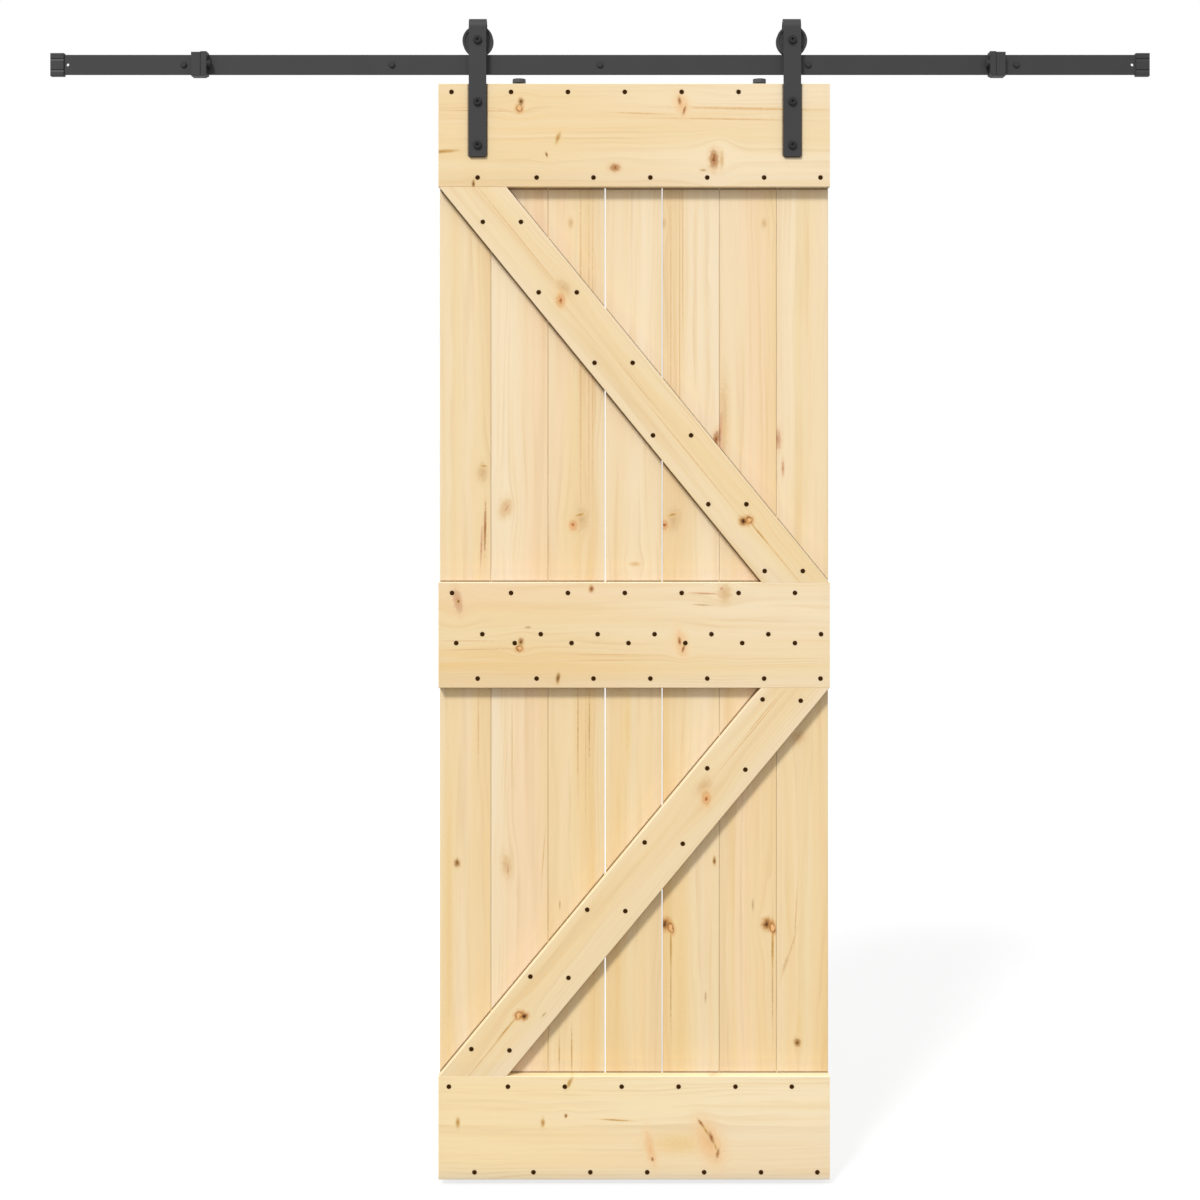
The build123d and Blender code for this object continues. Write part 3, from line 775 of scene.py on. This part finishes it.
def add_piece(name, bm, body, material):
    """Turn a finished mesh into a piece that rides on a body."""
    bmesh.ops.recalc_face_normals(bm, faces=bm.faces)
    mesh = bpy.data.meshes.new(name)
    bm.to_mesh(mesh)
    bm.free()
    mesh.materials.append(material)
    piece = bpy.data.objects.new(name, mesh)
    bpy.context.scene.collection.objects.link(piece)
    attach(piece, body)


def turned_head(bm, at, radius, rise, profile, segments, recess=None):
    """Add a head that faces the room. Its profile runs from its rim to its middle, in shares of its radius
    and rise, and a recess says by what share of the rise a point lies lower."""
    rings = []
    for out, up in profile:
        ring = []
        for i in range(segments):
            angle = math.tau * i / segments
            height = rise * (up - recess(out, angle)) if recess else rise * up
            spoke = Vector((math.cos(angle), 0.0, math.sin(angle)))
            ring.append(bm.verts.new(at + out * radius * spoke - Vector((0.0, height, 0.0))))
        rings.append(ring)
    for outer, inner in zip(rings, rings[1:]):
        for i in range(segments):
            j = (i + 1) % segments
            bm.faces.new((outer[i], outer[j], inner[j], inner[i]))
    bm.faces.new(rings[-1])


class DOOR_OT_finish_boards(bpy.types.Operator):
    """Give planks, ledges and braces their pine, each with its own grain and knots"""

    bl_idname = "door.finish_boards"
    bl_label = "Finish boards"

    def execute(self, context):
        settings = context.scene.door_boards
        flow = grain_round_knot()
        laying = knot_colour()
        for order, node in enumerate(BOARDS, start=1):
            finish_node(node, planed_pine(node, order, settings, flow, laying))
        return {"FINISHED"}


# Rows of screws across the ledges, in millimetres: drop below the leaf's top, and distance of the first,
# second and last screw from the leaf's left edge. Those between follow the second at the planks' pitch.
SCREW_ROWS = (
    (16.0, 25.0, 139.0, 683.0),
    (180.0, 75.0, 188.0, 732.0),
    (976.0, 26.0, 139.0, 683.0),
    (1055.0, 84.0, 196.0, 733.0),
    (1072.0, 34.0, 146.0, 683.0),
    (1140.0, 75.0, 188.0, 732.0),
    (1922.0, 20.0, 133.0, 677.0),
    (2086.0, 69.0, 182.0, 726.0),
)
PLANK_SCREWS = 5
PLANK_PITCH = 109.0

# Left screw of each pair along the braces, how far the other is to its right, and how far below it the other
# is on the lower brace
UPPER_PAIRS = ((85.0, 265.0), (192.0, 400.0), (299.0, 535.0), (411.0, 674.0), (517.0, 806.0), (625.0, 934.0))
LOWER_PAIRS = (
    (621.0, 1180.0), (515.0, 1312.0), (395.0, 1454.0), (285.0, 1583.0), (176.0, 1711.0), (63.0, 1850.0)
)
PAIR_SPREAD = 73.0
LOWER_PAIR_DROP = 2.5

# A wood screw's head, and the cross in it: its depth as a share of the head's rise, its reach as a share of
# the head's radius, and the sine of the angle that an arm spans
SCREW_PROFILE = ((1.0, 0.0), (0.97, 0.55), (0.82, 0.9), (0.66, 1.0), (0.58, 1.0), (0.3, 1.0), (0.15, 1.0))
SCREW_SEGMENTS = 24
CROSS_DEPTH = 0.75
CROSS_REACH = 0.62
CROSS_ARM = 0.55


def screw_places():
    """Places of all wood screws, in millimetres to the right of and below the leaf's top left corner."""
    places = []
    for drop, first, second, last in SCREW_ROWS:
        across = [first, *(second + i * PLANK_PITCH for i in range(PLANK_SCREWS)), last]
        places += [(right, drop) for right in across]
    for pairs, extra in ((UPPER_PAIRS, 0.0), (LOWER_PAIRS, LOWER_PAIR_DROP)):
        for right, down in pairs:
            places += [(right, down), (right + PAIR_SPREAD, down + extra)]
    return places


def cross_recess(out, angle):
    """How much lower a point of a wood screw's head lies in its cross, as a share of the head's rise."""
    in_arm = abs(math.sin(2 * angle)) < CROSS_ARM
    return CROSS_DEPTH if in_arm and out < CROSS_REACH else 0.0


class DOOR_OT_drive_screws(bpy.types.Operator):
    """Drive the black wood screws into ledges and braces"""

    bl_idname = "door.drive_screws"
    bl_label = "Drive wood screws"

    def execute(self, context):
        settings = context.scene.door_screws
        radius = settings.head_radius
        rise = settings.head_rise
        bm = bmesh.new()
        for right, down in screw_places():
            at = on_leaf(right, down)
            turned_head(bm, at, radius, rise, SCREW_PROFILE, SCREW_SEGMENTS, cross_recess)
        # Black phosphate on steel: nearly black with a brown cast, dull, with a faint sparkle of crystals
        coat = settings.blackened
        material = coated(
            "black_phosphated_steel", coat, grain_size=0.4, gloss=0.85, relief=0.2, specular=0.06
        )
        add_piece("wood_screws", bm, "door", material)
        return {"FINISHED"}


# A coach screw's round collar, as a share of the screw's height, and its six-sided head
COLLAR_SHARE = 0.3
COLLAR_PROFILE = ((1.0, 0.0), (1.0, 0.6), (0.93, 1.0), (0.5, 1.0))
COLLAR_SEGMENTS = 48
HEAD_PROFILE = ((1.0, 0.24), (1.0, 0.86), (0.88, 1.0), (0.5, 1.0))
HEAD_SIDES = 6


class DOOR_OT_fit_coach_screws(bpy.types.Operator):
    """Fit the collared six-sided coach screws that hold the rail to the wall"""

    bl_idname = "door.fit_coach_screws"
    bl_label = "Fit coach screws"

    def execute(self, context):
        settings = context.scene.door_screws
        mounts = {mount["name"]: mount for mount in frame["record"]["mounts"]}
        pairs = [mounts[name]["dims"]["spacing_x_mm"] for name in ("outer_wall_bolts", "inner_wall_bolts")]
        places = sorted({0.0, *(side * spacing * MM / 2 for spacing in pairs for side in (-1, 1))})
        rise = settings.coach_rise
        corner = settings.coach_flats / math.sqrt(3)
        bm = bmesh.new()
        for x in places:
            at = Vector((x, RAIL_FRONT, 0.0))
            turned_head(bm, at, settings.coach_collar, COLLAR_SHARE * rise, COLLAR_PROFILE, COLLAR_SEGMENTS)
            turned_head(bm, at, corner, rise, HEAD_PROFILE, HEAD_SIDES)
        # The rail's powder coat, with a finer grain and a little duller on the small heads
        coat = context.scene.door_hardware.coat
        material = coated("powder_coated_screw", coat, grain_size=0.5, gloss=0.65, relief=0.25, specular=0.3)
        add_piece("coach_screws", bm, "track", material)
        return {"FINISHED"}


class DOOR_OT_finish_hardware(bpy.types.Operator):
    """Finish rail, hangers, stops, caps, wheels and bearings"""

    bl_idname = "door.finish_hardware"
    bl_label = "Finish hardware"

    def execute(self, context):
        settings = context.scene.door_hardware
        # Matt powder coat on steel: dark grey-black, soft broad sheen, fine orange-peel texture
        coat = coated(
            "powder_coated_steel", settings.coat, grain_size=0.9, gloss=0.6, relief=0.3, specular=0.4
        )
        # The same coat on bolts, with hardly any sheen
        bolts = coated(
            "powder_coated_bolts", settings.bolt, grain_size=0.6, gloss=0.9, relief=0.25, specular=0.05
        )
        # Moulded ABS: even, fine spark-eroded grain
        plastic = coated(
            "moulded_abs", settings.plastic, grain_size=0.5, gloss=0.58, relief=0.25, specular=0.4
        )
        # Moulded acetal: the same grain, a shade greyer
        acetal = coated(
            "moulded_acetal", settings.disc, grain_size=0.5, gloss=0.6, relief=0.25, specular=0.4
        )
        # Turned nylon: satin, slightly waxy
        nylon = coated(
            "turned_nylon", settings.nylon, grain_size=0.8, gloss=0.62, relief=0.15, specular=0.35
        )
        # Moulded rubber: dull, dry
        rubber = coated(
            "moulded_rubber", settings.rubber, grain_size=0.4, gloss=0.8, relief=0.3, specular=0.25
        )
        # Ground bearing steel: bright, with a fine grey haze
        steel = coated(
            "ground_bearing_steel",
            settings.steel,
            grain_size=0.3,
            gloss=0.32,
            relief=0.08,
            specular=0.5,
            metallic=1.0,
        )
        finishes = {
            coat: ("track_rail", "rail_spacers", "left_hanger_strap", "right_hanger_strap",
                   "left_stop_clamp", "right_stop_clamp", "left_stop_block", "right_stop_block"),
            bolts: ("hanger_bolts", "hanger_nuts", "axle_bolts", "axle_nuts"),
            plastic: ("left_end_cap", "right_end_cap"),
            acetal: ("anti_jump_discs",),
            nylon: ("left_wheel", "right_wheel"),
            rubber: ("stop_bumpers",),
            steel: ("left_wheel_bearing", "right_wheel_bearing", "axle_bushes"),
        }
        for material, nodes in finishes.items():
            for node in nodes:
                finish_node(node, material)
        return {"FINISHED"}


# The key light travels down, to the right and into the wall
KEY_TRAVEL = Vector((10.6, 20.0, -22.5))
KEY_ANGLE = math.radians(11.0)
# The floor, in metres, and how much of its white is its own glow, so that a shadow on it stays faint
FLOOR_RADIUS = 14.0
FLOOR_SEGMENTS = 96
FLOOR_GLOW = 0.75
# Width of the camera's sensor in millimetres
SENSOR = 36.0


def plain_rays(tree):
    """One for rays from the camera, mirrors and glass, which see white, and nothing for the rest."""
    path = add(tree, "ShaderNodeLightPath")
    plain = path["Is Camera Ray"]
    for kind in ("Is Glossy Ray", "Is Transmission Ray"):
        plain = add(tree, "ShaderNodeMath", (plain, path[kind]), operation="MAXIMUM")[0]
    return plain


class DOOR_OT_set_stage(bpy.types.Operator):
    """Lay the floor, set the lights and place the camera"""

    bl_idname = "door.set_stage"
    bl_label = "Set stage"

    def execute(self, context):
        scene = context.scene
        settings = scene.door_stage
        self.lay_floor(scene, settings)
        self.light_world(scene, settings)
        self.hang_key_light(scene, settings)
        self.place_camera(scene, settings)
        scene.view_settings.view_transform = "Standard"
        return {"FINISHED"}

    def lay_floor(self, scene, settings):
        """A round floor under the leaf, white to the camera, that still takes the door's shadow."""
        bm = bmesh.new()
        level = Matrix.Translation((0.0, 0.0, LEAF_BOTTOM - settings.floor_gap))
        bmesh.ops.create_circle(
            bm, cap_ends=True, radius=FLOOR_RADIUS, segments=FLOOR_SEGMENTS, matrix=level
        )
        mesh = bpy.data.meshes.new("floor")
        bm.to_mesh(mesh)
        bm.free()
        material, tree = new_material("matt_floor_paint")
        seen = plain_rays(tree)
        shade = add(tree, "ShaderNodeMix", {0: seen, 6: settings.floor, 7: WHITE}, data_type="RGBA")[2]
        paint = add(tree, "ShaderNodeBsdfDiffuse", {"Color": shade})[0]
        glow = add(tree, "ShaderNodeEmission", {"Color": WHITE, "Strength": 1.0})[0]
        share = add(tree, "ShaderNodeMath", (seen, FLOOR_GLOW), operation="MULTIPLY")[0]
        mixed = add(tree, "ShaderNodeMixShader", (share, paint, glow))[0]
        add(tree, "ShaderNodeOutputMaterial", {"Surface": mixed})
        mesh.materials.append(material)
        floor = bpy.data.objects.new("floor", mesh)
        scene.collection.objects.link(floor)

    def light_world(self, scene, settings):
        """White to the camera and to mirrors, a plain even light to everything else."""
        scene.world = bpy.data.worlds.new("studio")
        scene.world.use_nodes = True
        tree = scene.world.node_tree
        tree.nodes.clear()
        even = add(tree, "ShaderNodeBackground", {"Color": WHITE, "Strength": settings.ambient})[0]
        backdrop = add(tree, "ShaderNodeBackground", {"Color": WHITE, "Strength": 1.0})[0]
        mixed = add(tree, "ShaderNodeMixShader", (plain_rays(tree), even, backdrop))[0]
        add(tree, "ShaderNodeOutputWorld", {"Surface": mixed})

    def hang_key_light(self, scene, settings):
        """A soft distant light that slants over the door."""
        lamp = bpy.data.lights.new("key_light", "SUN")
        lamp.energy = settings.key
        lamp.angle = KEY_ANGLE
        light = bpy.data.objects.new("key_light", lamp)
        light.rotation_euler = KEY_TRAVEL.to_track_quat("-Z", "Y").to_euler()
        scene.collection.objects.link(light)

    def place_camera(self, scene, settings):
        """A level camera before the rail's middle, shifted down so that the whole leaf shows."""
        lens = bpy.data.cameras.new("camera")
        lens.sensor_width = SENSOR
        lens.lens = SENSOR * settings.eye_distance / settings.view_width
        lens.shift_y = (settings.view_height - settings.eye_height) / settings.view_width
        camera = bpy.data.objects.new("camera", lens)
        camera.location = (0.0, LEAF_LOW.y - settings.eye_distance, settings.eye_height)
        camera.rotation_euler = (math.pi / 2, 0.0, 0.0)
        scene.collection.objects.link(camera)
        scene.camera = camera


class DOOR_PT_panel(bpy.types.Panel):
    """Settings and steps of the sliding door"""

    bl_idname = "DOOR_PT_panel"
    bl_label = "Sliding door"
    bl_space_type = "VIEW_3D"
    bl_region_type = "UI"
    bl_category = "Door"

    def draw(self, context):
        for operator in OPERATORS:
            self.layout.operator(operator.bl_idname)
        for name in SETTINGS:
            group = getattr(context.scene, name)
            box = self.layout.box()
            for setting in group.bl_rna.properties:
                if setting.identifier not in {"rna_type", "name"}:
                    box.prop(group, setting.identifier)


SETTINGS = {
    "door_boards": BoardSettings,
    "door_screws": ScrewSettings,
    "door_hardware": HardwareSettings,
    "door_stage": StageSettings,
}
OPERATORS = (
    DOOR_OT_finish_boards,
    DOOR_OT_drive_screws,
    DOOR_OT_finish_hardware,
    DOOR_OT_fit_coach_screws,
    DOOR_OT_set_stage,
)


def register():
    for group in SETTINGS.values():
        bpy.utils.register_class(group)
    for name, group in SETTINGS.items():
        setattr(bpy.types.Scene, name, PointerProperty(type=group))
    for operator in OPERATORS:
        bpy.utils.register_class(operator)
    bpy.utils.register_class(DOOR_PT_panel)


def unregister():
    bpy.utils.unregister_class(DOOR_PT_panel)
    for operator in reversed(OPERATORS):
        bpy.utils.unregister_class(operator)
    for name in SETTINGS:
        delattr(bpy.types.Scene, name)
    for group in reversed(SETTINGS.values()):
        bpy.utils.unregister_class(group)


def main():
    register()
    bpy.ops.door.finish_boards()
    bpy.ops.door.drive_screws()
    bpy.ops.door.finish_hardware()
    bpy.ops.door.fit_coach_screws()
    bpy.ops.door.set_stage()


if __name__ == "__main__":
    main()
